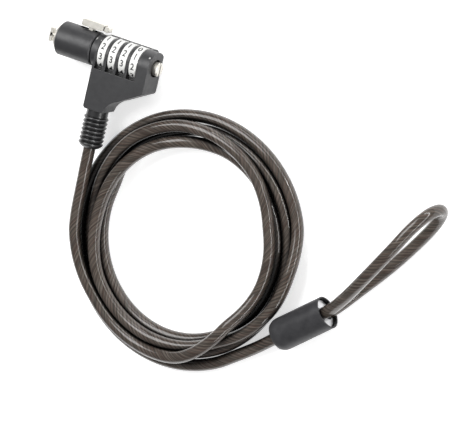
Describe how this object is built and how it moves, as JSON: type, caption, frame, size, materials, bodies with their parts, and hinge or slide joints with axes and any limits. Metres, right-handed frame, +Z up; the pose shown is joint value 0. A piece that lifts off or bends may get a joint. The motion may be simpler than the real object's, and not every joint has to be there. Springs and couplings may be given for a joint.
{
  "type": "laptop cable lock",
  "caption": "Combination laptop cable lock: dial head with a T-shaped locking tip, ribbed boot and a coiled steel cable ending in a crimped loop.",
  "frame": {"origin": "on the table under the middle of the lock head, which lies on its back", "axes": "+X along the barrel from the T-shaped tip to the end knob, +Y to the thumb slider's side, +Z up, out of the head's front face"},
  "size_m": [0.2115, 0.1401, 0.0304],
  "materials": {
    "cast_black": "satin black, fine grain",
    "boot_rubber": "glossy black moulded rubber",
    "bright_metal": "bright satin nickel plating",
    "spring_steel": "plain steel",
    "dial_white": "white dials with black digits",
    "cable_jacket": "smoky clear jacket over twisted steel rope",
    "ferrule_black": "smooth satin black plastic",
    "crimp_aluminium": "bright pressed aluminium"
  },
  "bodies": {
    "lock_body": {"main_housing": "cast_black", "barrel_sleeve": "cast_black", "nose_plug": "bright_metal", "t_bar": "bright_metal", "stem_nut": "spring_steel", "carriage_spring": "spring_steel", "detent_spring": "spring_steel", "reset_spring": "spring_steel", "cable_stud": "spring_steel", "stud_pin": "spring_steel", "strain_relief": "boot_rubber", "cable_lead": "cable_jacket", "cable_coil": "cable_jacket", "cable_tail": "cable_jacket", "ferrule_cover": "ferrule_black", "crimp_sleeve": "crimp_aluminium"},
    "slider": {"thumb_slider": "bright_metal", "slider_tail": "bright_metal", "pin_carriage": "spring_steel", "guard_pin_a": "spring_steel", "guard_pin_b": "spring_steel", "code_spindle": "spring_steel"},
    "first_dial": {"dial_1": "dial_white", "code_sleeve_1": "spring_steel"},
    "second_dial": {"dial_2": "dial_white", "code_sleeve_2": "spring_steel"},
    "third_dial": {"dial_3": "dial_white", "code_sleeve_3": "spring_steel"},
    "fourth_dial": {"dial_4": "dial_white", "code_sleeve_4": "spring_steel"},
    "code_screw": {"reset_knob": "bright_metal"}
  },
  "joints": [
    {"name": "slider_travel", "type": "slide", "parent": "lock_body", "child": "slider", "axis": [-1, 0, 0], "range_m": [0, 0.004], "stiffness_N_per_m": 120},
    {"name": "dial_1_turn", "type": "hinge", "parent": "lock_body", "child": "first_dial", "pos_m": [0.002, 0.01545, 0.00845], "axis": [1, 0, 0], "continuous": true},
    {"name": "dial_2_turn", "type": "hinge", "parent": "lock_body", "child": "second_dial", "pos_m": [0.0075, 0.01545, 0.00845], "axis": [1, 0, 0], "continuous": true},
    {"name": "dial_3_turn", "type": "hinge", "parent": "lock_body", "child": "third_dial", "pos_m": [0.013, 0.01545, 0.00845], "axis": [1, 0, 0], "continuous": true},
    {"name": "dial_4_turn", "type": "hinge", "parent": "lock_body", "child": "fourth_dial", "pos_m": [0.0185, 0.01545, 0.00845], "axis": [1, 0, 0], "continuous": true},
    {"name": "code_screw_turn", "type": "hinge", "parent": "lock_body", "child": "code_screw", "pos_m": [0.02625, 0.01545, 0.00845], "axis": [1, 0, 0], "range_deg": [0, 90]}
  ]
}
